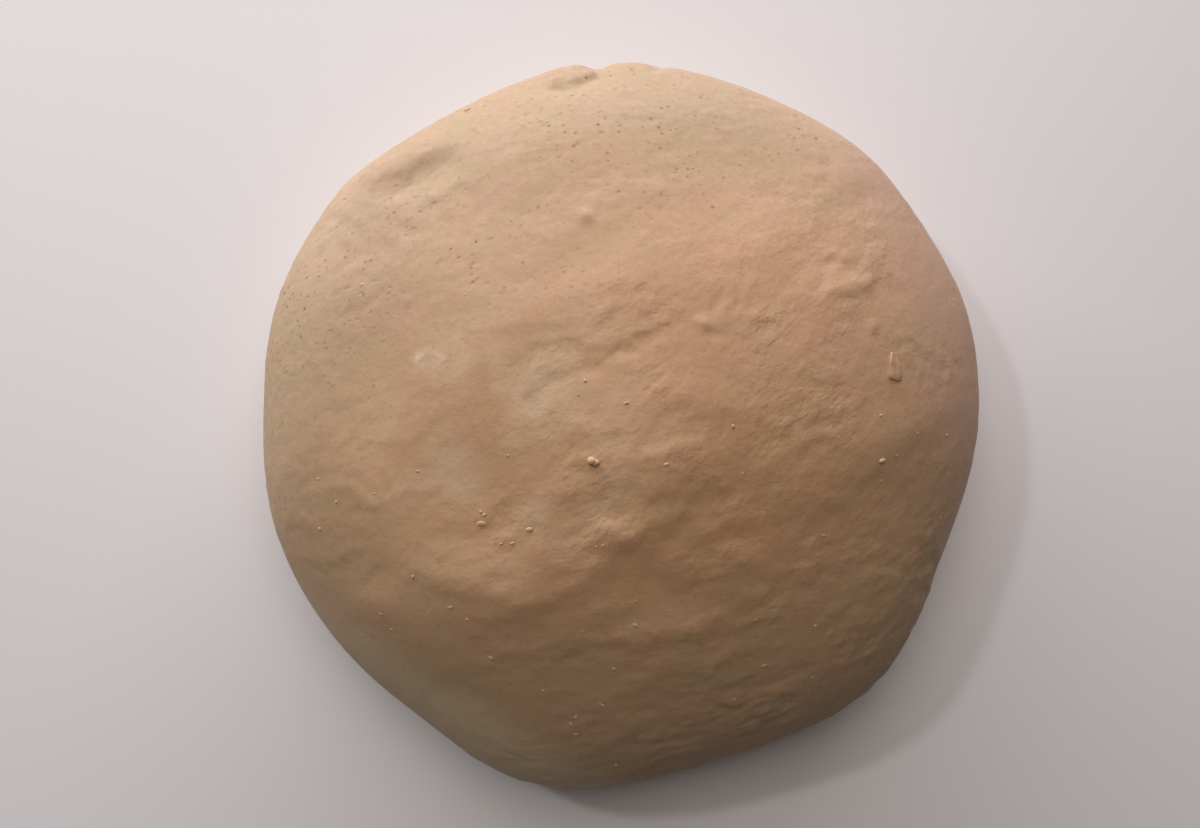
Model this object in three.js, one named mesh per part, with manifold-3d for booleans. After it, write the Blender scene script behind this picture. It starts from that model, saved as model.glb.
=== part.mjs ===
// A kneaded ball of Irish stout bread dough, resting on its flat underside.
// Millimetres, +Z up. X runs across the ball, Y runs away from the person who kneaded it,
// and the origin is the middle of the underside.

import * as THREE from "three";
import { mergeVertices } from "three/addons/utils/BufferGeometryUtils.js";
import Module from "manifold-3d";

const wasm = await Module();
wasm.setup();

// Driving sizes of the ball.
const WIDTH = 185;
const HEIGHT = 59.2; // of the plain dome, before the marks raise its crown to 60
const BELLY_HEIGHT = 19; // where the ball is widest
const FOOT_DEPTH = 37; // how far the underside would reach below the belly if nothing were under it
const FACETS_ALONG_EDGE = 19; // each edge of the starting icosahedron is split this many times

const MEAN_RADIUS = WIDTH / 2;
const CROWN_HEIGHT = HEIGHT - BELLY_HEIGHT;

// The outline is a circle with slow swellings: so many waves round the ball, each swelling
// by so many mm, with a crest at that heading in degrees from +X.
const SWELLINGS = [
  { waves: 2, swell: 0.8, heading: 61 },
  { waves: 3, swell: 0.85, heading: 34 },
  { waves: 4, swell: 0.3, heading: -28 },
  { waves: 5, swell: 0.5, heading: 24 },
  { waves: 6, swell: 0.65, heading: 18 },
  { waves: 7, swell: 0.9, heading: 0 },
  { waves: 8, swell: 0.3, heading: -6 },
  { waves: 12, swell: 0.2, heading: -14 },
];

// What hands left on the skin. Heading and rise place a mark, in degrees round the ball and up
// from its belly. Run is the heading of its length, seen from above. Long and wide are its half
// sizes in mm. It stands proud of the dome by its height, or sinks where that is negative.
const MARKS = [
  // the gathered fold at the back, where the ball was pulled shut: two rolls, a gap and a crease
  { heading: 98.5, rise: 19, run: 8, long: 9, wide: 6, height: 1.1 },
  { heading: 88.5, rise: 19, run: 0, long: 8, wide: 8, height: 0.8 },
  { heading: 93.5, rise: 20, run: 93.5, long: 8, wide: 2.4, height: -1.1 },
  { heading: 98, rise: 30, run: 17, long: 7, wide: 2.4, height: -1.6 },
  { heading: 79, rise: 19, run: 0, long: 6, wide: 6, height: 0.35 },
  // a finger's dent, with the dough it pushed up behind it
  { heading: 133, rise: 38.5, run: 19, long: 10, wide: 5, height: -1.3 },
  { heading: 130, rise: 29, run: 22, long: 11, wide: 5, height: 0.7 },
  // where the belly bulges and flattens
  { heading: 141, rise: 12, run: 51, long: 10, wide: 9, height: 0.8 },
  { heading: 45, rise: 18, run: 135, long: 12, wide: 9, height: 0.4 },
  { heading: 17, rise: 10, run: 107, long: 14, wide: 9, height: 0.45 },
  { heading: 240, rise: 5, run: 150, long: 13, wide: 12, height: -0.6 },
  // how the whole dome leans: low at the back and the left, full from the front left to the right
  { heading: 64, rise: 51, run: 5, long: 32, wide: 18, height: -2.1 },
  { heading: 122, rise: 59, run: 35, long: 22, wide: 15, height: -0.9 },
  { heading: 169, rise: 49, run: 85, long: 26, wide: 18, height: -2.1 },
  { heading: 236, rise: 48, run: 30, long: 20, wide: 14, height: 1.2 },
  { heading: 304, rise: 79, run: 38, long: 28, wide: 15, height: 1 },
  { heading: 318, rise: 43, run: 35, long: 24, wide: 15, height: -1.1 },
  { heading: 253, rise: 57, run: 10, long: 28, wide: 17, height: 0.9 },
  { heading: 106, rise: 62, run: 25, long: 20, wide: 12, height: -0.7 },
  { heading: 340, rise: 75, run: 30, long: 22, wide: 14, height: 0.6 },
  { heading: 190, rise: 52, run: 90, long: 18, wide: 12, height: -0.4 },
  // the shallow hollow behind the crown and the ridges that slant past it
  { heading: 105, rise: 71, run: 50, long: 9, wide: 6, height: -0.5 },
  { heading: 81, rise: 65, run: 10, long: 10, wide: 7, height: -0.45 },
  { heading: 78, rise: 78, run: 15, long: 14, wide: 6, height: 0.3 },
  { heading: 31, rise: 75, run: 40, long: 13, wide: 6, height: 0.35 },
  { heading: 43, rise: 61, run: 45, long: 9, wide: 5, height: 0.3 },
  { heading: 353, rise: 73, run: 20, long: 10, wide: 8, height: -0.4 },
  { heading: 190, rise: 79, run: 35, long: 8, wide: 6, height: -0.3 },
  // the pulled skin at the front left, which ends in a long soft step
  { heading: 233, rise: 51, run: -20, long: 17, wide: 6, height: 0.8 },
  { heading: 246, rise: 59, run: 60, long: 10, wide: 5, height: 0.45 },
  { heading: 212, rise: 63, run: -10, long: 11, wide: 7, height: -0.5 },
  { heading: 231, rise: 62, run: 40, long: 6, wide: 5, height: -0.3 },
  { heading: 203, rise: 45, run: -35, long: 10, wide: 5, height: 0.35 },
  { heading: 224, rise: 36, run: 0, long: 8, wide: 6, height: 0.45 },
  // the ridge and the trough that run on from that step across the front
  { heading: 268, rise: 67, run: 48, long: 13, wide: 4.5, height: 0.6 },
  { heading: 300, rise: 75, run: 15, long: 10, wide: 5, height: 0.4 },
  { heading: 278, rise: 59, run: -22, long: 10, wide: 5, height: -0.75 },
  { heading: 280, rise: 52, run: 0, long: 9, wide: 5, height: 0.4 },
  { heading: 263, rise: 46, run: 15, long: 11, wide: 5, height: -0.35 },
  { heading: 281, rise: 45, run: 5, long: 13, wide: 5, height: 0.3 },
  { heading: 241, rise: 31, run: -20, long: 9, wide: 6, height: -0.4 },
  // the soft waves of the right side
  { heading: 22, rise: 53, run: 32, long: 11, wide: 4, height: 0.6 },
  { heading: 20, rise: 45, run: 40, long: 7, wide: 4, height: -0.4 },
  { heading: 33, rise: 53, run: 30, long: 6, wide: 5, height: -0.3 },
  { heading: 42, rise: 34, run: 48, long: 10, wide: 4, height: 0.4 },
  { heading: 39, rise: 38, run: 45, long: 10, wide: 4, height: -0.5 },
  { heading: 325, rise: 63, run: -50, long: 9, wide: 5, height: 0.35 },
  { heading: 347, rise: 48, run: 25, long: 14, wide: 6, height: 0.45 },
  { heading: 332, rise: 46, run: 20, long: 17, wide: 7, height: -0.5 },
];

const radians = THREE.MathUtils.degToRad;

function direction(heading, rise) {
  const level = Math.cos(rise);
  return new THREE.Vector3(level * Math.cos(heading), level * Math.sin(heading), Math.sin(rise));
}

function outlineRadius(heading) {
  let radius = MEAN_RADIUS;
  for (const { waves, swell, heading: crest } of SWELLINGS) {
    radius += swell * Math.cos(waves * (heading - radians(crest)));
  }
  return radius;
}

// The plain dome under the marks. The swellings are full at the belly and die away at the crown.
function domePoint(aim) {
  const level = Math.hypot(aim.x, aim.y);
  const heading = Math.atan2(aim.y, aim.x);
  const swelling = (outlineRadius(heading) - MEAN_RADIUS) * level * level;
  const radius = (MEAN_RADIUS + swelling) * level;
  const reach = aim.z > 0 ? CROWN_HEIGHT : FOOT_DEPTH;
  const point = direction(heading, 0).multiplyScalar(radius);
  point.z = BELLY_HEIGHT + reach * aim.z;
  return point;
}

// The direction out of the skin at a point of the dome.
function outward(point) {
  const above = point.z - BELLY_HEIGHT;
  const reach = above > 0 ? CROWN_HEIGHT : FOOT_DEPTH;
  const flat = MEAN_RADIUS * MEAN_RADIUS;
  return new THREE.Vector3(point.x / flat, point.y / flat, above / (reach * reach)).normalize();
}

// A mark lies in the skin's own plane at its centre, along its run and across it.
function placeMark(mark) {
  const centre = domePoint(direction(radians(mark.heading), radians(mark.rise)));
  const out = outward(centre);
  const along = direction(radians(mark.run), 0).projectOnPlane(out).normalize();
  const across = new THREE.Vector3().crossVectors(out, along);
  return { ...mark, centre, along, across };
}

const placedMarks = MARKS.map(placeMark);

// How far the marks lift the skin at a point. Each one fades like a bell curve, and the far side
// of the ball is out of its reach.
function lift(point) {
  let height = 0;
  for (const mark of placedMarks) {
    const away = new THREE.Vector3().subVectors(point, mark.centre);
    const along = away.dot(mark.along) / mark.long;
    const across = away.dot(mark.across) / mark.wide;
    if (away.length() < MEAN_RADIUS) {
      height += mark.height * Math.exp(-along * along - across * across);
    }
  }
  return height;
}

function kneadedBall() {
  const ball = new THREE.IcosahedronGeometry(1, FACETS_ALONG_EDGE);
  ball.deleteAttribute("normal");
  ball.deleteAttribute("uv");
  const shape = mergeVertices(ball);
  const corners = shape.getAttribute("position");
  const aim = new THREE.Vector3();
  for (let i = 0; i < corners.count; i += 1) {
    aim.fromBufferAttribute(corners, i).normalize();
    const point = domePoint(aim);
    point.addScaledVector(outward(point), lift(point));
    corners.setXYZ(i, point.x, point.y, point.z);
  }
  return shape;
}

function toSolid(shape) {
  const vertProperties = new Float32Array(shape.getAttribute("position").array);
  const triVerts = new Uint32Array(shape.getIndex().array);
  return new wasm.Manifold(new wasm.Mesh({ numProp: 3, vertProperties, triVerts }));
}

function toGeometry(solid) {
  const { vertProperties, triVerts } = solid.getMesh();
  const shape = new THREE.BufferGeometry();
  shape.setAttribute("position", new THREE.BufferAttribute(new Float32Array(vertProperties), 3));
  shape.setIndex(new THREE.BufferAttribute(new Uint32Array(triVerts), 1));
  return shape;
}

// Everything below the surface that the ball rests on.
function restingBlock() {
  const block = new THREE.BoxGeometry(2 * WIDTH, 2 * WIDTH, WIDTH);
  block.deleteAttribute("normal");
  block.deleteAttribute("uv");
  block.translate(0, 0, -WIDTH / 2);
  return mergeVertices(block);
}

function centreOnFoot(shape) {
  shape.computeBoundingBox();
  const middle = shape.boundingBox.getCenter(new THREE.Vector3());
  shape.translate(-middle.x, -middle.y, 0);
  shape.computeVertexNormals();
  return shape;
}

const floury = new THREE.MeshStandardMaterial({ color: 0xb59c7f, roughness: 0.62, metalness: 0 });
const rested = toSolid(kneadedBall()).subtract(toSolid(restingBlock()));
const dough = new THREE.Mesh(centreOnFoot(toGeometry(rested)), floury);
dough.name = "dough";

const loaf = new THREE.Group();
loaf.add(dough);

export default loaf;
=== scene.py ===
import math
import random

import bpy
from mathutils import Matrix, Vector, noise
from mathutils.bvhtree import BVHTree
from mathutils.kdtree import KDTree


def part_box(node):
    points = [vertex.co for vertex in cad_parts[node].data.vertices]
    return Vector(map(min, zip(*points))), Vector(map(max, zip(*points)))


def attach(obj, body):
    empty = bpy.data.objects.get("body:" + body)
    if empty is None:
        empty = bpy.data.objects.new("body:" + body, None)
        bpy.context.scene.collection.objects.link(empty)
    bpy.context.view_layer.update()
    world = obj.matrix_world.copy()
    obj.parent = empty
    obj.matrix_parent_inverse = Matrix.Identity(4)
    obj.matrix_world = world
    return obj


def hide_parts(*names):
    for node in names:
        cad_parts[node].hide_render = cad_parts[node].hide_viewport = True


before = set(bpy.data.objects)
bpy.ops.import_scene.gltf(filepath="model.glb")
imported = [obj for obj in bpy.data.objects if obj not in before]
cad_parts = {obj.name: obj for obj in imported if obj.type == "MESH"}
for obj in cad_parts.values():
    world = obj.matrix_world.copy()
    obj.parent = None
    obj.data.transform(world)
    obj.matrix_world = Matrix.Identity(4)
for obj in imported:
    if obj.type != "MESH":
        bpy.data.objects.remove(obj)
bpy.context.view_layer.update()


# The ball of dough. Brown bread flour wetted with stout and kneaded into one lump, then pulled
# round, turned over and left to rest on its gathered side. Its skin is smooth at the back left
# and rumpled from the middle to the front, where the heel of the hand last pushed it.
mm = 0.001
far_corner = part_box("dough")[1]
belly_height = 19 * mm
crown_height = far_corner.z - belly_height

bpy.ops.object.select_all(action="DESELECT")
bpy.context.view_layer.objects.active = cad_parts["dough"]
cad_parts["dough"].select_set(True)
bpy.ops.object.duplicate()
mould = bpy.context.active_object
bpy.ops.object.mode_set(mode="EDIT")
bpy.ops.mesh.select_all(action="SELECT")
bpy.ops.mesh.remove_doubles(threshold=0.001 * mm)
bpy.ops.object.mode_set(mode="OBJECT")
rounding = mould.modifiers.new("rounding", "SUBSURF")
rounding.levels = rounding.render_levels = 2
bpy.ops.object.modifier_apply(modifier=rounding.name)
bpy.ops.object.select_all(action="DESELECT")

bpy.ops.mesh.primitive_ico_sphere_add(subdivisions=5, radius=1)
dough = bpy.context.active_object
dough.name = dough.data.name = "dough_ball"
bpy.ops.object.mode_set(mode="EDIT")
bpy.ops.mesh.select_all(action="SELECT")
bpy.ops.transform.resize(value=(far_corner.x, far_corner.y, crown_height))
bpy.ops.transform.translate(value=(0, 0, belly_height))
bpy.ops.object.mode_set(mode="OBJECT")
# Only what shows gets fine faces. What lies well below the table here lands on the flat underside,
# where large faces do.
lowest_fine_face = -4 * mm
for face in dough.data.polygons:
    face.select = face.center.z > lowest_fine_face
bpy.ops.object.mode_set(mode="EDIT")
bpy.ops.mesh.subdivide(number_cuts=5)
bpy.ops.object.mode_set(mode="OBJECT")
fitting = dough.modifiers.new("fitting", "SHRINKWRAP")
fitting.target = mould
fitting.wrap_method = "NEAREST_SURFACEPOINT"
bpy.ops.object.modifier_apply(modifier=fitting.name)
bpy.data.objects.remove(mould)


def rise(low_end, high_end, value):
    """0 before the low end, 1 after the high end, and a smooth rise between them."""
    share = min(max((value - low_end) / (high_end - low_end), 0), 1)
    return share * share * (3 - 2 * share)


def off_table(z):
    """0 where the dough touches the table and 1 from a few millimetres above it."""
    return rise(0.4, 6, z)


def paint(name, weigh):
    """A vertex group of the dough, weighed by each point's place in millimetres."""
    group = dough.vertex_groups.new(name=name)
    for vertex in dough.data.vertices:
        x, y, z = vertex.co / mm
        weight = weigh(x, y) * off_table(z)
        if weight > 0:
            group.add([vertex.index], weight, "REPLACE")
    return group.name


def displace(name, group, depth, pattern=None, heading=0, grain=(1, 1, 1)):
    """Moves the skin in or out where a group is painted, by a pattern drawn out along a heading."""
    bpy.ops.object.select_all(action="DESELECT")
    turn = (0, 0, math.radians(heading))
    bpy.ops.object.empty_add(location=(0, 0, 0), rotation=turn)
    guide = bpy.context.active_object
    guide.scale = Vector(grain) * mm
    bpy.context.view_layer.objects.active = dough
    dough.select_set(True)
    lift = dough.modifiers.new(name, "DISPLACE")
    lift.vertex_group = group
    lift.strength = depth * mm
    lift.mid_level = 0
    if pattern:
        lift.texture = pattern
        lift.texture_coords = "OBJECT"
        lift.texture_coords_object = guide
        lift.mid_level = 0.5
    bpy.ops.object.modifier_apply(modifier=lift.name)
    bpy.data.objects.remove(guide)


# The marks that hands left, as lines on the skin seen from above, in millimetres, each drawn from
# left to right. A step is where the skin drops towards the front: how far it stands above and
# below the dough around it, how wide the slope is each way, then its line.
STEPS = [
    # the fold at the back, where the dough was gathered, and the dent of a finger
    (0.32, 1.5, [(-17, 80), (-12, 81.2), (-7, 84.5)]),
    (0.85, 3.8, [(-58.5, 54), (-52.5, 55), (-46, 57.5)]),
    # the long scarp across the front, where the skin was dragged towards the heel of the hand
    (0.33, 1.7, [(-27, -53.5), (-22, -52.5), (-18, -51)]),
    (0.14, 2.0, [(-17, -50), (-10, -47.5), (-5, -46.5)]),
    (0.13, 1.6, [(-7, -44), (-4, -42), (-1, -38.5)]),
    (0.28, 1.6, [(0, -37.5), (4, -35), (8, -33.5), (12, -32)]),
    (0.2, 3.0, [(-3, -37), (4, -38)]),
    (0.14, 2.0, [(-47, -45), (-40, -46), (-32, -48.5), (-27, -49)]),
    # the creases above it, at the middle
    (0.18, 1.4, [(6, -27), (11, -26), (15, -24.5), (19, -23)]),
    (0.15, 1.0, [(12, -30), (14, -27.5), (18, -25.5), (23, -25.5)]),
    (0.22, 3.2, [(8, -8), (14, -7), (20, -9)]),
    (0.17, 3.4, [(-13, -29), (-6, -26.5), (0, -24)]),
    (0.1, 1.3, [(-20, -4), (-17, -0.5), (-12, 1.5), (-6, 3.5)]),
    (0.14, 1.3, [(-10, 8), (-8, 5.5), (-3, 6.5), (3, 8.5), (6, 10.5), (10, 13)]),
    (0.08, 0.9, [(2, 17), (4, 20)]),
    (0.08, 0.9, [(5, 16), (10, 19)]),
    (0.12, 1.1, [(-5, 12), (-2, 15.5)]),
    (0.07, 1.1, [(-30, 10.5), (-22, 11.5), (-14, 11)]),
    (0.07, 0.9, [(-17, 7.5), (-11, 8)]),
    (0.14, 4.0, [(-20, 27), (-8, 35), (4, 41), (16, 44)]),
    # the long crease on the right
    (0.1, 1.1, [(17.5, 10.5), (20.5, 10)]),
    (0.08, 1.6, [(22, 10.5), (28, 12), (34, 14)]),
    (0.09, 1.2, [(36, 15), (42, 17.5), (48, 20)]),
    (0.26, 1.1, [(51, 21), (54.5, 21.5), (57, 23), (59, 25)]),
    (0.2, 1.0, [(47, 29), (50, 30.5), (52, 29.5)]),
    (0.12, 1.5, [(58, 26.5), (62, 26), (65, 25)]),
    (0.1, 2.6, [(50, 45), (55, 48), (60, 51)]),
    (0.08, 1.2, [(52, 50), (55, 52)]),
    (0.12, 1.1, [(64, 10.5), (67, 11.5), (70, 9.5), (71, 7)]),
    # the right flank
    (0.15, 1.2, [(40, -16), (42, -13.5), (45, -13), (47, -14)]),
    (0.15, 1.8, [(42, -27), (46, -28.5), (51, -27)]),
    (0.12, 2.0, [(54, -22), (58, -20.5), (63, -21)]),
    (0.15, 3.0, [(62, -16), (70, -12), (78, -6)]),
    (0.12, 1.3, [(40, -29), (43, -32), (46, -35)]),
    (0.12, 1.3, [(32, -57), (36, -53)]),
    (0.15, 2.0, [(15, -45), (20, -46)]),
    (0.1, 0.9, [(19, -38), (26, -38.5)]),
    (0.1, 0.9, [(25, -41), (29, -42)]),
    # the left flank
    (0.1, 3.0, [(-60, -53), (-54, -54)]),
    (0.1, 1.8, [(-83, -34), (-77, -32), (-72, -33)]),
    (0.1, 1.3, [(-66, -40.5), (-61, -38.5)]),
    (0.084, 1.3, [(-60, -45), (-56, -41.5)]),
    (0.13, 1.0, [(-60, -27.5), (-56.5, -29.5)]),
    (0.056, 1.2, [(-80, -39.5), (-70, -41), (-63, -40)]),
    (0.07, 0.9, [(-76, -15.5), (-72, -14.5), (-67, -13.5)]),
    (0.07, 0.9, [(-50, -26), (-46, -25.5)]),
    (0.084, 0.9, [(-29, -29), (-26, -27), (-24, -27.5)]),
    (0.084, 1.8, [(-17, -27), (-12, -27)]),
    (0.07, 1.5, [(-41, -33), (-36, -33)]),
    # the front
    (0.15, 2.2, [(-43, -68), (-38, -65.5), (-33, -68)]),
    (0.13, 1.4, [(-16, -60.5), (-7, -60.5), (-2, -58.5)]),
    (0.2, 1.2, [(-1, -70.5), (3, -69), (6, -67.5)]),
    (0.12, 1.2, [(2, -79.5), (9, -79.5), (16, -78.5)]),
    (0.1, 1.2, [(1, -41), (7, -41.5), (13, -41)]),
    (0.08, 1.0, [(-6, -51), (-2, -52), (1, -51.5)]),
    (0.09, 1.0, [(-1, -57), (2, -55.5), (6, -56.5), (12, -57)]),
    # slopes that face the back, where the skin climbs towards the front
    (-0.15, 1.8, [(6, -16), (11, -15), (14, -14.5)]),
    (-0.15, 2.0, [(-1, -46.5), (7, -46)]),
    (-0.22, 3.0, [(5, -53), (11, -52), (16, -50)]),
    (-0.2, 1.5, [(-4, -32.5), (-1, -31.5)]),
    (-0.12, 2.2, [(-28, -46), (-22, -45)]),
    (-0.15, 3.0, [(-60, -46), (-54, -46)]),
    (-0.1, 2.2, [(33, -59), (42, -58)]),
    (-0.12, 2.0, [(40, -47), (46, -43)]),
    (-0.12, 2.2, [(0, -75.5), (6, -74.5), (12, -77)]),
    (-0.12, 1.3, [(45, 22), (48, 26), (51, 31)]),
    (-0.2, 1.0, [(52, 25.5), (57, 26)]),
    (-0.12, 1.5, [(-34, -38), (-26, -34)]),
    (-0.1, 1.3, [(-68, -21), (-62, -22.5), (-56, -26)]),
    (-0.1, 2.2, [(-20, -8), (-14, -3.5), (-8, 0)]),
    (-0.08, 2.0, [(0, 3), (8, 6)]),
    (-0.12, 1.8, [(22, -35), (27, -37)]),
    (-0.1, 1.5, [(15, -41.5), (20, -41.5)]),
    (-0.2, 6.0, [(-18, 20), (-4, 26), (8, 24), (20, 30)]),
    (-0.07, 1.5, [(20, 14), (30, 17), (35, 16)]),
]
skin_points = KDTree(len(dough.data.vertices))
for vertex in dough.data.vertices:
    if vertex.co.z > belly_height / 2:
        skin_points.insert((vertex.co.x / mm, vertex.co.y / mm, 0), vertex.index)
skin_points.balance()


# Ridges and lumps have the same parts, and furrows are ridges that sink. The first ones make the
# two lobes of the fold.
RIDGES = [
    (0.6, 2.2, [(-17, 86), (-13.5, 88.2), (-11, 88.5)]),
    (0.4, 2.0, [(-1, 90.5), (3, 91), (6, 90.5)]),
    (-1.0, 2.2, [(-5, 94), (-6, 89), (-7.5, 86)]),
    (-0.4, 0.8, [(-4, 92), (-5, 88), (-6, 84.5)]),
    (-0.7, 1.8, [(9.8, 93), (9.2, 87)]),
    (-0.4, 0.8, [(-16.5, 78.4), (-13, 78.9), (-9, 81), (-6, 83.8)]),
    (-0.15, 0.8, [(-15.5, 81.2), (-11, 82.6), (-7, 84.6)]),
    # the hollow in front of the finger's dent, and the dough that rose again in the dent
    (-1.4, 7.5, [(-62, 38), (-52, 41), (-42, 44)]),
    (0.62, 3.6, [(-58.5, 50), (-52.5, 51), (-45, 53.5)]),
    # lumps under the skin
    (0.35, 1.1, [(56.6, 24.8), (57.6, 25.4)]),
    (0.45, 0.7, [(57.2, 13), (58, 13.4)]),
    (0.35, 0.8, [(17, 12.2), (18, 12.4)]),
    (0.35, 0.8, [(20.8, 6.4), (21.8, 6.6)]),
    (0.75, 0.9, [(-9.6, 38.8), (-8.4, 39.1)]),
    (0.28, 1.0, [(45.2, 53.6), (46.6, 53)]),
    (0.2, 0.8, [(59, 32.4), (60, 32.6)]),
    (0.15, 0.8, [(38.3, 38), (39.3, 38.4)]),
    # where fingertips were drawn over the skin
    (-0.16, 0.7, [(20, 15), (22.5, 19), (24, 22)]),
    (0.15, 0.7, [(21.7, 14), (24.2, 19), (25.7, 22)]),
    (-0.17, 0.7, [(23.5, 14), (26, 19.5), (28, 25)]),
    (0.15, 0.7, [(25.4, 15), (27.9, 20), (29.9, 24)]),
    (-0.13, 0.7, [(27.2, 15), (30, 20)]),
]
# The wavering of the lines is the same each time.
noise.seed_set(7)


def step_profile(across):
    """A slope between a swelling and a hollow that both fade away from it."""
    return across * math.exp(0.5 - across * across / 2)


def ridge_profile(across):
    """Full along its middle, with soft sides."""
    return math.exp(-across * across / 2)


def draw(line, height, width, profile, marks):
    """Adds a mark along a line to the heights in marks. It wavers, and fades out past its ends."""
    points = [Vector((x, y, 0)) for x, y in line]
    reach = 4 * width + 1
    fine = width < 3
    waver = 1.4 if fine else 0.7
    patchiness = 0.8 if fine else 0.2
    near = {}
    for start, end in zip(points, points[1:]):
        stops = max(2, math.ceil((end - start).length / width))
        for stop in range(stops + 1):
            for place, index, _ in skin_points.find_range(start.lerp(end, stop / stops), reach):
                near[index] = place
    for index, place in near.items():
        shake = noise.noise_vector(place / (1.5 + 1.2 * width)) * waver
        bent = place + Vector((shake.x, shake.y, 0))
        closest = None
        for start, end in zip(points, points[1:]):
            run = end - start
            share = (bent - start).dot(run) / run.length_squared
            foot = start + run * min(max(share, 0), 1)
            past = max(-share, share - 1, 0) * run.length
            side = run.normalized().cross(bent - foot).z
            if closest is None or (bent - foot).length < closest[0]:
                closest = ((bent - foot).length, side, past)
        away, side, past = closest
        across = math.copysign(away, side) / width if past == 0 else side / width
        fade = math.exp(-((past / width) ** 2) / 2) * (0.75 + patchiness * noise.noise(place / 4))
        marks[index] = marks.get(index, 0) + height * fade * profile(across)


marks = {}
for height, width, line in STEPS:
    draw(line, height, width, step_profile, marks)
for height, width, line in RIDGES:
    draw(line, height, width, ridge_profile, marks)
deepest = max(abs(height) for height in marks.values())
raised = dough.vertex_groups.new(name="raised")
sunk = dough.vertex_groups.new(name="sunk")
for index, height in marks.items():
    (raised if height > 0 else sunk).add([index], abs(height) / deepest, "REPLACE")
displace("raised_marks", "raised", deepest)
displace("sunk_marks", "sunk", -deepest)


def in_front_of_slant(x, y):
    """How far a place lies in front of the line where the smooth skin gives way to the rumpled."""
    return 0.47 * (x + 80) - 0.88 * (y + 15)


def patchy(x, y):
    """Some places of the skin are rumpled more than others."""
    return 0.65 + 0.8 * noise.noise(Vector((x, y, 0)) / 13)


def left_front(x, y):
    return rise(-18, -42, x) * rise(-12, -30, y) * patchy(x, y)


def middle(x, y):
    inside = rise(-16, 18, in_front_of_slant(x, y)) * rise(-62, -34, y) * rise(-55, -12, x)
    return inside * (0.8 + 0.2 * rise(8, 40, x) - 0.35 * rise(52, 70, x)) * patchy(x, y)


def front(x, y):
    more_at_right = 0.75 + 0.25 * rise(0, 30, x - (y + 60) / 2)
    return rise(-18, -45, y) * rise(-55, -15, x) * more_at_right * patchy(x, y)


def back(x, y):
    left_side = rise(-25, -45, x) * rise(-42, -22, y)
    return max(rise(20, -14, in_front_of_slant(x, y)), left_side) * patchy(x, y)


def everywhere(x, y):
    return patchy(y, x)


soft_waves = bpy.data.textures.new("soft_waves", "CLOUDS")
soft_waves.noise_basis = "IMPROVED_PERLIN"
soft_waves.noise_scale = 1.0
soft_waves.noise_depth = 3
middle_skin = paint("middle", middle)
front_skin = paint("front", front)
left_skin = paint("left_front", left_front)
back_skin = paint("back", back)
whole_skin = paint("whole", everywhere)
# Soft waves and lumps that kneading left, by part of the skin: how deep they are, their pattern, the
# heading of their length, and their size in mm along it, across it and up.
displace("middle_waves", middle_skin, 0.9, soft_waves, 35, (6, 4, 4))
displace("middle_lumps", middle_skin, 0.42, soft_waves, 60, (3, 2.4, 2.4))
displace("front_waves", front_skin, 1.85, soft_waves, 8, (8, 4.5, 4.5))
displace("front_lumps", front_skin, 0.55, soft_waves, 15, (3.5, 2.6, 2.6))
displace("left_waves", left_skin, 0.14, soft_waves, -22, (7, 4.5, 4.5))
displace("left_lumps", left_skin, 0.15, soft_waves, -30, (3.2, 2.4, 2.4))
displace("back_waves", back_skin, 0.7, soft_waves, 25, (8, 5, 5))
displace("back_lumps", back_skin, 0.45, soft_waves, 25, (3.2, 2.4, 2.4))
displace("whole_lumps", whole_skin, 0.16, soft_waves, 10, (2.0, 1.7, 1.7))

bpy.ops.object.mode_set(mode="EDIT")
bpy.ops.mesh.select_all(action="SELECT")
bpy.ops.mesh.normals_make_consistent(inside=False)
bpy.ops.object.mode_set(mode="OBJECT")
bpy.ops.object.shade_smooth()

# Where dry flour lies on the skin: how thick, how wide, and its line.
FLOUR = [
    (0.75, 0.5, [(-47.8, 6), (-45.8, 6.8), (-43.8, 7.3), (-42, 6.6), (-41, 5.2)]),
    (0.4, 1.2, [(-46.5, 4.8), (-44, 5.6), (-42, 4.6)]),
    (0.25, 0.9, [(-48, 2), (-46.5, 3.5)]),
]
flour = dough.data.attributes.new("flour", "FLOAT", "POINT")
dusting = {}
for weight, width, line in FLOUR:
    draw(line, weight, width, ridge_profile, dusting)
for index, weight in dusting.items():
    flour.data[index].value = min(weight, 1)


# How far each place is pulled the way the middle is, and the way the front is.
pulls = dough.data.attributes.new("pulls", "FLOAT_COLOR", "POINT")
for vertex in dough.data.vertices:
    x, y, z = vertex.co / mm
    pulls.data[vertex.index].color = (middle(x, y) * off_table(z), front(x, y) * off_table(z), 0, 1)


def add_node(tree, kind, settings=(), **values):
    """A node with its settings and the values of its inputs, which may be links."""
    node = tree.nodes.new(kind)
    for name, value in dict(settings).items():
        setattr(node, name, value)
    for name, value in values.items():
        number = name[1:]
        socket = node.inputs[int(number) if number.isdigit() else name.replace("_", " ")]
        if isinstance(value, bpy.types.NodeSocket):
            tree.links.new(value, socket)
        else:
            socket.default_value = value
    return node


def math_node(tree, operation, first, second=0.0, third=0.0):
    node = add_node(tree, "ShaderNodeMath", {"operation": operation}, i0=first, i1=second, i2=third)
    return node.outputs[0]


def vector_number(tree, operation, first, second=(0, 0, 0)):
    """A number worked out from vectors: a length, a distance or a dot product."""
    node = add_node(tree, "ShaderNodeVectorMath", {"operation": operation}, i0=first, i1=second)
    return node.outputs["Value"]


def ramp(tree, value, start, end, low=0.0, high=1.0, kind="SMOOTHSTEP"):
    """Low where the value is at the start, high where it is at the end, and a change between."""
    node = add_node(
        tree, "ShaderNodeMapRange", {"interpolation_type": kind},
        Value=value, From_Min=start, From_Max=end, To_Min=low, To_Max=high,
    )
    return node.outputs[0]


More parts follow.
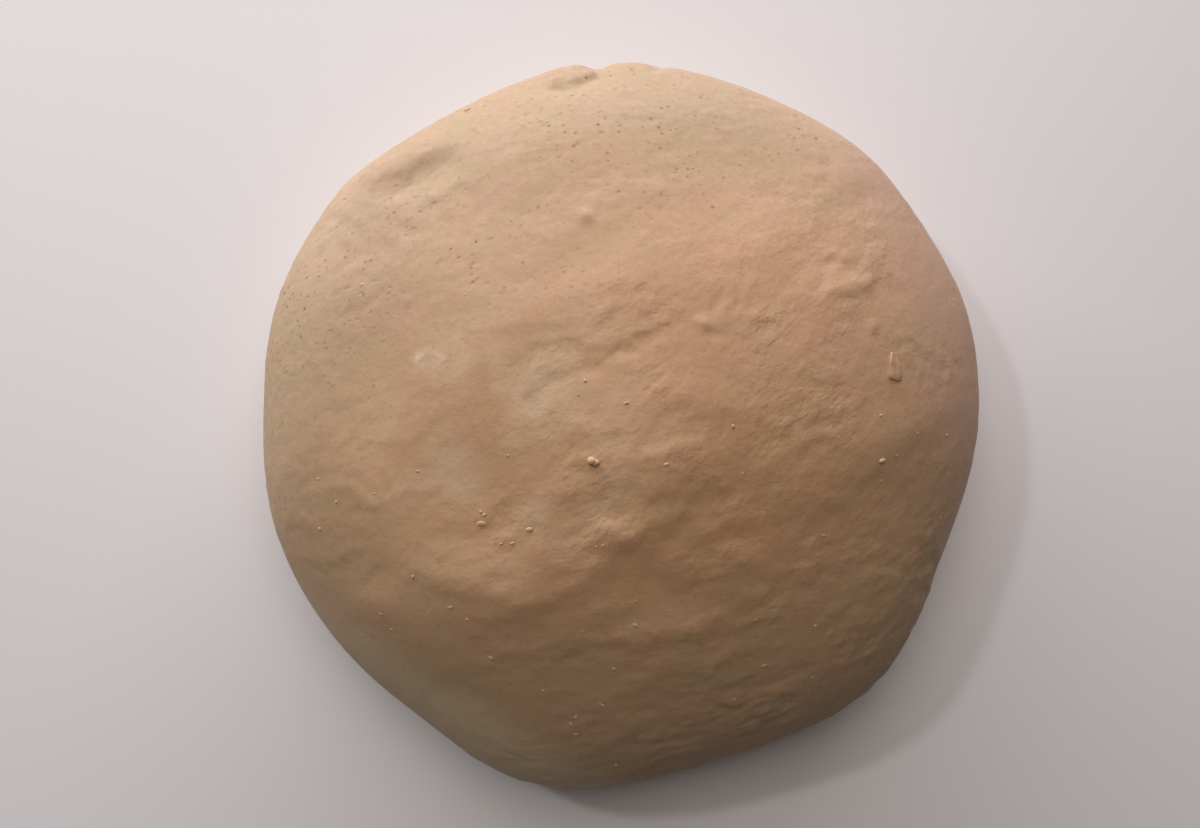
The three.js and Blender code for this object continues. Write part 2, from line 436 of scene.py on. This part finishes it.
def noise_node(tree, place, scale, detail, roughness=0.5):
    node = add_node(
        tree, "ShaderNodeTexNoise", Vector=place, Scale=scale, Detail=detail, Roughness=roughness,
    )
    return node.outputs[0]


def mix_colours(tree, share, first, second):
    node = add_node(tree, "ShaderNodeMix", {"data_type": "RGBA"}, i0=share, i6=first, i7=second)
    return node.outputs[2]


def attribute_node(tree, name):
    return add_node(tree, "ShaderNodeAttribute", {"attribute_name": name})


def new_group(name, inputs, outputs):
    """An empty shader node group, with the sockets of its input and its output."""
    tree = bpy.data.node_groups.new(name, "ShaderNodeTree")
    for label, kind in inputs.items():
        tree.interface.new_socket(label, in_out="INPUT", socket_type="NodeSocket" + kind)
    for label, kind in outputs.items():
        tree.interface.new_socket(label, in_out="OUTPUT", socket_type="NodeSocket" + kind)
    return tree, tree.nodes.new("NodeGroupInput").outputs, tree.nodes.new("NodeGroupOutput").inputs


def group_node(tree, group, **values):
    """A group placed in a material with its own values. Gives its outputs."""
    return add_node(tree, "ShaderNodeGroup", {"node_tree": group}, **values).outputs


# Flecks are soft round spots, each in its own cell of a lattice: how long a cell is, how large
# the largest fleck is, and what share of the cells holds one.
flecks, given, result = new_group(
    "flecks",
    {"Place": "Vector", "Cell": "Float", "Radius": "Float", "Share": "Float"},
    {"Fleck": "Float"},
)
cells_per_metre = math_node(flecks, "DIVIDE", 1.0, given["Cell"])
cells = add_node(flecks, "ShaderNodeTexVoronoi", Vector=given["Place"], Scale=cells_per_metre)
chance = add_node(flecks, "ShaderNodeSeparateColor", Color=cells.outputs["Color"])
largest = math_node(flecks, "DIVIDE", given["Radius"], given["Cell"])
its_size = math_node(flecks, "MULTIPLY_ADD", chance.outputs["Green"], 0.6, 0.4)
reach = math_node(flecks, "MULTIPLY", largest, its_size)
core = math_node(flecks, "MULTIPLY", reach, 0.15)
spot = ramp(flecks, cells.outputs["Distance"], core, reach, 1.0, 0.0)
held = math_node(flecks, "LESS_THAN", chance.outputs["Red"], given["Share"])
flecks.links.new(math_node(flecks, "MULTIPLY", spot, held), result["Fleck"])

# Dough grain is the fine unevenness of flour, bran and water in kneaded dough.
grain, given, result = new_group(
    "dough_grain",
    {"Colour": "Color", "Size": "Float", "Contrast": "Float"},
    {"Colour": "Color", "Height": "Float"},
)
place = add_node(grain, "ShaderNodeTexCoord").outputs["Object"]
fine = noise_node(grain, place, math_node(grain, "DIVIDE", 1.0, given["Size"]), 3.0, 0.6)
broad = noise_node(grain, place, 90.0, 2.0)
tint = noise_node(grain, place, 85.0, 3.0)
darker = math_node(grain, "MULTIPLY", ramp(grain, fine, 0.54, 0.7), 0.5)
paler = math_node(grain, "MULTIPLY", ramp(grain, fine, 0.44, 0.3), 0.35)
uneven = math_node(grain, "SUBTRACT", math_node(grain, "MULTIPLY_ADD", broad, 0.6, paler), darker)
pinker = ramp(grain, tint, 0.35, 0.65)
hue = mix_colours(grain, pinker, (0.98, 1.01, 0.99, 1), (1.02, 0.99, 1.01, 1))
tinted = add_node(grain, "ShaderNodeVectorMath", {"operation": "MULTIPLY"}, i0=given["Colour"], i1=hue)
swing = math_node(grain, "MULTIPLY", math_node(grain, "SUBTRACT", 0.3, uneven), given["Contrast"])
swing = math_node(grain, "ADD", swing, 1.0)
toned = add_node(grain, "ShaderNodeGamma", Color=tinted.outputs[0], Gamma=swing)
grain.links.new(toned.outputs[0], result["Colour"])
grain.links.new(fine, result["Height"])

# Pulled dough is the fine relief where the skin was dragged along a heading: small folds that
# lean towards the front, because each place is read a little further on where the relief is high.
pulled, given, result = new_group(
    "pulled_dough",
    {"Place": "Vector", "Heading": "Float", "Long": "Float", "Wide": "Float"},
    {"Height": "Float"},
)
turn = add_node(pulled, "ShaderNodeCombineXYZ", Z=given["Heading"]).outputs[0]
stretch = add_node(pulled, "ShaderNodeCombineXYZ", X=given["Long"], Y=given["Wide"], Z=given["Wide"])
drawn_out = add_node(
    pulled, "ShaderNodeMapping", {"vector_type": "TEXTURE"},
    Vector=given["Place"], Rotation=turn, Scale=stretch.outputs[0],
).outputs[0]
first = noise_node(pulled, drawn_out, 1.0, 0.0)
lean = add_node(pulled, "ShaderNodeCombineXYZ", Y=math_node(pulled, "MULTIPLY_ADD", first, 0.6, -0.3))
leant = add_node(pulled, "ShaderNodeVectorMath", {"operation": "ADD"}, i0=drawn_out, i1=lean.outputs[0])
streaks = noise_node(pulled, leant.outputs[0], 1.0, 2.5, 0.55)
pulled.links.new(math_node(pulled, "SUBTRACT", streaks, 0.5), result["Height"])

# The skin is smooth towards the front, and dry and flecked towards the back left. Its colour also
# changes from the front to the back left, and that change is painted light: paler and greyer towards the
# back left, a painted sheen of the cool back window.
dough_skin = bpy.data.materials.new("dough_skin")
dough_skin.use_nodes = True
tree = dough_skin.node_tree
skin = tree.nodes["Principled BSDF"]
place = add_node(tree, "ShaderNodeTexCoord").outputs["Object"]
drawn_out = add_node(
    tree, "ShaderNodeMapping", {"vector_type": "TEXTURE"},
    Vector=place, Rotation=(0, 0, math.radians(25)), Scale=(1.4, 1, 1.2),
).outputs[0]
towards_front = ramp(tree, vector_number(tree, "DOT_PRODUCT", place, (0.47, -0.88, 0)), -55 * mm, 5 * mm)
dry = math_node(tree, "SUBTRACT", 1.0, towards_front)
crowded = ramp(tree, noise_node(tree, place, 75.0, 2.0), 0.4, 0.62, 0.05, 1.0, "LINEAR")
flecked = math_node(tree, "MULTIPLY", math_node(tree, "MULTIPLY_ADD", dry, 0.9, 0.1), crowded)
boldly_flecked = math_node(tree, "MULTIPLY_ADD", dry, 0.65, 0.2)


def fleck(vector, cell, radius, share, strength):
    spot = group_node(tree, flecks, Place=vector, Cell=cell * mm, Radius=radius * mm, Share=share)[0]
    return math_node(tree, "MULTIPLY", spot, strength)


soft_dashes = fleck(drawn_out, 2.1, 0.95, 0.6, flecked)
bran = fleck(place, 2.1, 0.8, 0.75, flecked)
bold_bran = fleck(place, 6.0, 0.8, 0.5, boldly_flecked)
pale_grit = fleck(place, 3.0, 0.6, 0.3, 0.22)

# Broad patches of another tone: where each one is and how far it shows, then its colour. All but the
# last are painted light and shade: a bluish painted fill light all round the rim, painted shade on the
# front, painted warm light on the right and on the right rim, and a painted fill light on the front left
# rim. The last one makes the left rim paler.
rim = ramp(tree, vector_number(tree, "LENGTH", place), 65 * mm, 92 * mm, 0, 0.5)
near = ramp(tree, vector_number(tree, "DOT_PRODUCT", place, (0.2, -0.98, 0)), 40 * mm, 78 * mm, 0, 0.5)
from_right = vector_number(tree, "DISTANCE", place, (49 * mm, 14 * mm, 45 * mm))
rosy = ramp(tree, from_right, 46 * mm, 10 * mm, 0, 0.27)
to_front_left = vector_number(tree, "DOT_PRODUCT", place, (-0.5, -0.87, 0))
pale_rim = ramp(tree, to_front_left, 74 * mm, 86 * mm, 0, 0.5)
to_right = vector_number(tree, "DOT_PRODUCT", place, (0.94, 0.34, 0))
pink_rim = ramp(tree, to_right, 58 * mm, 82 * mm, 0, 0.4)
# Paler towards the left rim.
to_left = vector_number(tree, "DOT_PRODUCT", place, (-0.98, 0.2, 0))
paler_left_rim = ramp(tree, to_left, 66 * mm, 84 * mm, 0, 0.25)
# Painted sheen: the colour turns paler and greyer towards the back left.
base = mix_colours(tree, towards_front, (0.488, 0.312, 0.192, 1), (0.52, 0.3, 0.164, 1))
base = mix_colours(tree, rim, base, (0.44, 0.32, 0.205, 1))
base = mix_colours(tree, near, base, (0.405, 0.27, 0.156, 1))
base = mix_colours(tree, rosy, base, (0.69, 0.41, 0.29, 1))
base = mix_colours(tree, pale_rim, base, (0.63, 0.5, 0.32, 1))
base = mix_colours(tree, pink_rim, base, (0.62, 0.37, 0.3, 1))
base = mix_colours(tree, paler_left_rim, base, (0.63, 0.45, 0.29, 1))

# The grain, the flecks and the flour lie over the patches. The flour is thickest around one place.
grained = group_node(tree, grain, Colour=base, Size=1.6 * mm, Contrast=0.14)
colour = grained["Colour"]
colour = mix_colours(tree, math_node(tree, "MULTIPLY", soft_dashes, 0.55), colour, (0.34, 0.19, 0.09, 1))
colour = mix_colours(tree, math_node(tree, "MULTIPLY", bran, 0.85), colour, (0.24, 0.12, 0.045, 1))
colour = mix_colours(tree, bold_bran, colour, (0.17, 0.085, 0.035, 1))
colour = mix_colours(tree, pale_grit, colour, (0.68, 0.5, 0.34, 1))
from_dusting = vector_number(tree, "DISTANCE", place, (-24 * mm, -10 * mm, 52 * mm))
dusted = ramp(tree, from_dusting, 44 * mm, 8 * mm, 0, 0.46)
patches = ramp(tree, grained["Height"], 0.4, 0.58, 0.35, 1.1, "LINEAR")
floured = math_node(tree, "MULTIPLY", attribute_node(tree, "flour").outputs["Fac"], patches)
floured = math_node(tree, "MULTIPLY_ADD", dusted, crowded, floured)
colour = mix_colours(tree, floured, colour, (0.66, 0.5, 0.35, 1))
tree.links.new(colour, skin.inputs["Base Color"])
tree.links.new(ramp(tree, grained["Height"], 0.3, 0.7, 0.5, 0.66, "LINEAR"), skin.inputs["Roughness"])
skin.inputs["Specular IOR Level"].default_value = 0.28

# The fine relief, in millimetres: the grain, the folds of the pulled skin, and hollows at the dashes.
# Each zone of pulled skin has its heading in degrees, how long and wide its folds are, and how tall.
PULLED_ZONES = [
    ("Red", 45, 1.9, 1.4, 0.23),
    ("Green", 10, 2.4, 1.7, 0.27),
]
pulls = add_node(tree, "ShaderNodeSeparateColor", Color=attribute_node(tree, "pulls").outputs["Color"])
relief = math_node(tree, "MULTIPLY", grained["Height"], 0.11)
for zone, heading, long, wide, tall in PULLED_ZONES:
    folds = group_node(
        tree, pulled, Place=place, Heading=math.radians(heading), Long=long * mm, Wide=wide * mm,
    )[0]
    share = math_node(tree, "MULTIPLY", pulls.outputs[zone], tall)
    relief = math_node(tree, "MULTIPLY_ADD", folds, share, relief)
relief = math_node(tree, "MULTIPLY_ADD", soft_dashes, -0.09, relief)
bump = add_node(tree, "ShaderNodeBump", Height=relief, Strength=1.0, Distance=1 * mm)
tree.links.new(bump.outputs[0], skin.inputs["Normal"])
dough.data.materials.append(dough_skin)
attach(dough, "root")
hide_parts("dough")


# The crumbs. Bits of half dried dough and flour that came off the table and the hands while it
# was rolled, and stuck to the skin. They are paler than the dough, and sit in it to their middle.
CRUMBS = [
    # across, up, long, wide and tall in mm, then the heading of its length
    (-7.2, -18.9, 2.1, 1.8, 2.0, -30),
    (-6.4, -19.3, 1.8, 1.6, 1.8, 20),
    (58.6, -17.5, 1.9, 1.1, 1.0, 15),
    (-20.8, -33.5, 1.6, 1.1, 0.9, 10),
    (-31.6, -29.5, 1.0, 0.7, 0.6, -50),
    (-30.8, -30.2, 1.1, 0.8, 0.7, 30),
    (-31.5, -32.1, 2.0, 1.2, 0.4, 0),
    (-24.5, -36.4, 1.2, 0.7, 0.5, 20),
    (-27.0, -36.5, 0.8, 0.6, 0.5, 0),
    (-29.4, -61.2, 1.5, 0.9, 0.8, -30),
    (-2.4, -63.5, 1.0, 1.0, 0.9, 0),
    (31.4, -63.1, 1.6, 1.0, 0.9, 20),
    (-10.9, -74.3, 1.3, 0.8, 0.6, 55),
    (-11.9, -76, 1.5, 0.8, 0.6, -75),
    (-10.8, -78.3, 1.3, 1.1, 0.9, 0),
    (-5, -71.5, 2.0, 0.6, 0.4, -40),
    (-1.7, -86, 1.0, 0.9, 0.8, 0),
    (-18, -68.4, 0.8, 0.7, 0.6, 0),
    (-47, -43.5, 0.8, 0.8, 0.7, 0),
    (-70, 51.3, 1.3, 0.9, 0.7, 70),
    (-39.5, 75.2, 1.9, 0.9, 0.7, 25),
    (0.3, -6.2, 1.3, 0.6, 0.5, 15),
    (8.9, -19.7, 1.3, 0.8, 0.6, 20),
    (23.7, -11.2, 0.9, 1.0, 0.6, 0),
    (-25.6, -17.4, 0.7, 0.7, 0.6, 0),
    (-46.2, -20.3, 0.9, 0.6, 0.5, 0),
    (-8.7, -1.1, 0.9, 0.9, 0.7, 0),
    (-6.2, -37.2, 0.9, 0.7, 0.6, 0),
    (-4.9, -37, 0.9, 0.7, 0.6, 0),
    (2.3, -54, 1.2, 0.9, 0.7, -30),
    (44.6, -34.4, 1.3, 0.7, 0.5, 0),
    (42.9, -54.4, 0.8, 0.8, 0.7, 0),
    (29, -53, 1.0, 0.7, 0.5, 0),
    (24.8, -70.6, 1.2, 0.9, 0.6, 0),
    (43, -66, 1.0, 0.7, 0.5, 0),
    (75.9, -29.6, 1.0, 0.9, 0.6, 0),
    (76.8, -10.3, 0.9, 0.8, 0.7, 0),
    (68.2, -10.6, 0.8, 0.8, 0.6, 0),
    (58.6, -7.2, 1.0, 0.7, 0.5, 10),
    (62.4, -16.1, 0.8, 0.7, 0.5, 0),
    (58.7, -21.9, 0.8, 0.7, 0.5, 0),
    (-66, -26.5, 1.0, 0.9, 0.5, 0),
    (-70.6, -32.4, 1.0, 0.9, 0.6, 0),
    (-55.2, -51.8, 1.1, 0.7, 0.5, 0),
    (-52.7, -55.2, 0.9, 0.6, 0.5, 0),
    (-34.6, -52.8, 0.9, 0.7, 0.6, 0),
    (-38.3, -50.2, 1.4, 0.8, 0.5, 20),
    (-71, -21, 0.9, 0.8, 0.5, 0),
    (-62, 25.3, 1.4, 1.0, 0.4, 20),
]
bpy.context.view_layer.update()
skin_surface = BVHTree.FromObject(dough, bpy.context.evaluated_depsgraph_get())


def seat(piece, x, y, heading, above):
    """Moves a piece onto the skin, with its length along a heading and its middle so far above."""
    well_above = Vector((x, y, 90)) * mm
    point, out, _, _ = skin_surface.ray_cast(well_above, Vector((0, 0, -1)))
    level = Vector((math.cos(math.radians(heading)), math.sin(math.radians(heading)), 0))
    along = (level - out * level.dot(out)).normalized()
    piece.location = point + out * above * mm
    piece.rotation_euler = Matrix((along, out.cross(along), out)).transposed().to_euler()


def add_crumb(x, y, size, heading, seed):
    """A rough lump, sunk into the skin to about its middle. The larger ones stand out and are drier."""
    bpy.ops.object.select_all(action="DESELECT")
    bpy.ops.mesh.primitive_ico_sphere_add(subdivisions=2 if size.x > 0.6 else 1, radius=0.5)
    lump = bpy.context.active_object
    lump.scale = size * mm
    dry = rise(1.2, 2.2, size.x)
    seat(lump, x, y, heading, size.z * (0.2 * dry - 0.05))
    bpy.ops.object.mode_set(mode="EDIT")
    bpy.ops.mesh.select_all(action="SELECT")
    bpy.ops.transform.vertex_random(offset=0.15 * size.x * mm, uniform=0.8, normal=0.2, seed=seed)
    if size.x > 0.9:
        bpy.ops.mesh.subdivide(number_cuts=1, smoothness=0.8)
    bpy.ops.object.mode_set(mode="OBJECT")
    bpy.ops.object.shade_smooth()
    dryness = lump.data.attributes.new("dryness", "FLOAT", "POINT")
    for entry in dryness.data:
        entry.value = dry
    return lump


crumb_pieces = []
for number, (x, y, long, wide, tall, heading) in enumerate(CRUMBS):
    standing_out = 0.6 + 0.25 * rise(1.5, 2, long)
    size = Vector((long, wide, tall * standing_out))
    crumb_pieces.append(add_crumb(x, y, size, heading, number))

crumb_count = 130
scatter_radius = 84
scatter = random.Random(12)
while len(crumb_pieces) < crumb_count:
    heading = math.radians(scatter.uniform(0, 360))
    reach = scatter_radius * math.sqrt(scatter.random())
    x, y = reach * math.cos(heading), reach * math.sin(heading)
    if scatter.random() < 0.35 + 0.65 * rise(-30, 30, in_front_of_slant(x, y)):
        length = scatter.uniform(0.25, 0.6)
        size = Vector((length, length * scatter.uniform(0.6, 0.9), length * scatter.uniform(0.5, 0.8)))
        crumb_pieces.append(add_crumb(x, y, size, scatter.uniform(0, 180), len(crumb_pieces)))
bpy.ops.object.select_all(action="DESELECT")
for piece in crumb_pieces:
    piece.select_set(True)
bpy.context.view_layer.objects.active = crumb_pieces[0]
bpy.ops.object.join()
crumbs = bpy.context.active_object
crumbs.name = crumbs.data.name = "crumbs"
bpy.ops.object.transform_apply(location=True, rotation=True, scale=True)
dried_dough = bpy.data.materials.new("dried_dough")
dried_dough.use_nodes = True
tree = dried_dough.node_tree
crust = tree.nodes["Principled BSDF"]
dryness = attribute_node(tree, "dryness").outputs["Fac"]
dried = mix_colours(tree, dryness, (0.56, 0.38, 0.23, 1), (0.62, 0.42, 0.26, 1))
grained = group_node(tree, grain, Colour=dried, Size=0.8 * mm, Contrast=0.3)
tree.links.new(grained["Colour"], crust.inputs["Base Color"])
bump = add_node(tree, "ShaderNodeBump", Height=grained["Height"], Strength=1.0, Distance=0.04 * mm)
tree.links.new(bump.outputs[0], crust.inputs["Normal"])
crust.inputs["Roughness"].default_value = 0.75
crust.inputs["Specular IOR Level"].default_value = 0.2
crust.inputs["Subsurface Weight"].default_value = 0.35
crust.inputs["Subsurface Radius"].default_value = (1, 0.7, 0.5)
crust.inputs["Subsurface Scale"].default_value = 0.8 * mm
crumbs.data.materials.append(dried_dough)
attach(crumbs, "root")


# The flap. A scrap of skin that tore as the dough was rolled. It is stuck down along its right side
# and its back, and its front end has lifted off.
bpy.ops.object.select_all(action="DESELECT")
bpy.ops.mesh.primitive_cube_add(size=1)
flap = bpy.context.active_object
flap.name = flap.data.name = "flap"
bpy.ops.object.mode_set(mode="EDIT")
bpy.ops.mesh.select_all(action="SELECT")
bpy.ops.mesh.subdivide(number_cuts=9)
bpy.ops.transform.resize(value=(4.6 * mm, 6.6 * mm, 0.7 * mm))
bpy.ops.transform.vertex_random(offset=0.45 * mm, uniform=0.7, normal=0.3, seed=5)
bpy.ops.mesh.vertices_smooth(factor=0.5, repeat=7)
bpy.ops.object.mode_set(mode="OBJECT")
for vertex in flap.data.vertices:
    x, y = vertex.co.x / mm, vertex.co.y / mm
    ahead, left, right, behind = rise(0.5, -2.4, y), rise(0, -1.4, x), rise(0, 2.4, x), rise(0.5, 3, y)
    vertex.co.x -= (x + 2) * 0.25 * rise(-1.5, 3, y) * mm
    vertex.co.z += (0.2 * ahead + 0.15 * left - 0.55 * right - 0.35 * behind) * mm
seat(flap, x=63.3, y=4.4, heading=-8, above=0)
bpy.ops.object.transform_apply(location=True, rotation=True, scale=True)
bpy.ops.object.shade_smooth()
flap.data.materials.append(dough_skin)
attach(flap, "root")


# The table that the dough rests on: a smooth pale top. Where the lamps reach it no more, well away
# from the dough, the camera still sees it as pale as the room around it.
bpy.ops.object.select_all(action="DESELECT")
bpy.ops.mesh.primitive_plane_add(size=8, location=(0, 0, 0))
table = bpy.context.active_object
table.name = "table"
table_top = bpy.data.materials.new("table_top")
table_top.use_nodes = True
top = table_top.node_tree.nodes["Principled BSDF"]
top.inputs["Base Color"].default_value = (0.82, 0.78, 0.795, 1)
top.inputs["Roughness"].default_value = 0.5
room_colour = (0.66, 0.64, 0.65, 1)
far_top_colour = (0.56, 0.54, 0.55, 1)
tree = table_top.node_tree
place = add_node(tree, "ShaderNodeTexCoord").outputs["Object"]
lit_radius = 0.23
room_radius = 1.0
far = ramp(tree, vector_number(tree, "LENGTH", place), lit_radius, room_radius)
seen = add_node(tree, "ShaderNodeLightPath").outputs["Is Camera Ray"]
paled = mix_colours(tree, math_node(tree, "MULTIPLY", far, seen), (0, 0, 0, 1), far_top_colour)
tree.links.new(paled, top.inputs["Emission Color"])
top.inputs["Emission Strength"].default_value = 1
table_top.cycles.emission_sampling = "NONE"
table.data.materials.append(table_top)


# The light: a wide low window behind the dough, a small high one at the left that gives the soft
# edge of the shadow, and a little warm light from the ceiling. The walls of the room look pale,
# but give the dough almost no light.
aim_height = 0.02


def add_window(name, heading, climb, distance, size, watts, colour):
    """An area light at a heading and climb in degrees and a distance in metres, aimed at the dough."""
    level = distance * math.cos(math.radians(climb))
    place = Vector((
        level * math.cos(math.radians(heading)),
        level * math.sin(math.radians(heading)),
        distance * math.sin(math.radians(climb)) + aim_height,
    ))
    aim = (Vector((0, 0, aim_height)) - place).to_track_quat("-Z", "Y").to_euler()
    bpy.ops.object.light_add(type="AREA", location=place, rotation=aim)
    window = bpy.context.active_object
    window.name = name
    window.data.shape = "RECTANGLE"
    window.data.size, window.data.size_y = size
    window.data.energy = watts
    window.data.color = colour
    window.visible_camera = False


add_window("back_window", 104, 15, 1.3, (2.6, 0.35), 31, (0.985, 0.985, 1.02))
add_window("left_window", 152, 50, 1.3, (0.09, 0.09), 2.15, (0.92, 0.97, 0.95))
add_window("ceiling", 90, 85, 1.0, (0.8, 0.8), 0.8, (1.05, 0.96, 0.88))
add_window("near_ceiling", 90, 70, 0.5, (0.4, 0.4), 0.85, (1.05, 0.96, 0.88))
bpy.context.scene.world = bpy.data.worlds.new("room")
bpy.context.scene.world.use_nodes = True
tree = bpy.context.scene.world.node_tree
seen = add_node(tree, "ShaderNodeLightPath").outputs["Is Camera Ray"]
light_from_walls = (0.016, 0.0156, 0.0158, 1)
walls = mix_colours(tree, seen, light_from_walls, room_colour)
tree.links.new(walls, tree.nodes["Background"].inputs["Color"])


# The camera looks down from the front, as the one who kneaded the dough does.
camera_place = (-5.44 * mm, -46.45 * mm, 274.18 * mm)
camera_tilt = math.radians(10)
bpy.ops.object.camera_add(location=camera_place, rotation=(camera_tilt, 0, 0))
camera = bpy.context.active_object
camera.data.lens = 30
camera.data.sensor_width = 36
camera.data.clip_start = 0.01
bpy.context.scene.camera = camera
bpy.context.scene.view_settings.view_transform = "Standard"
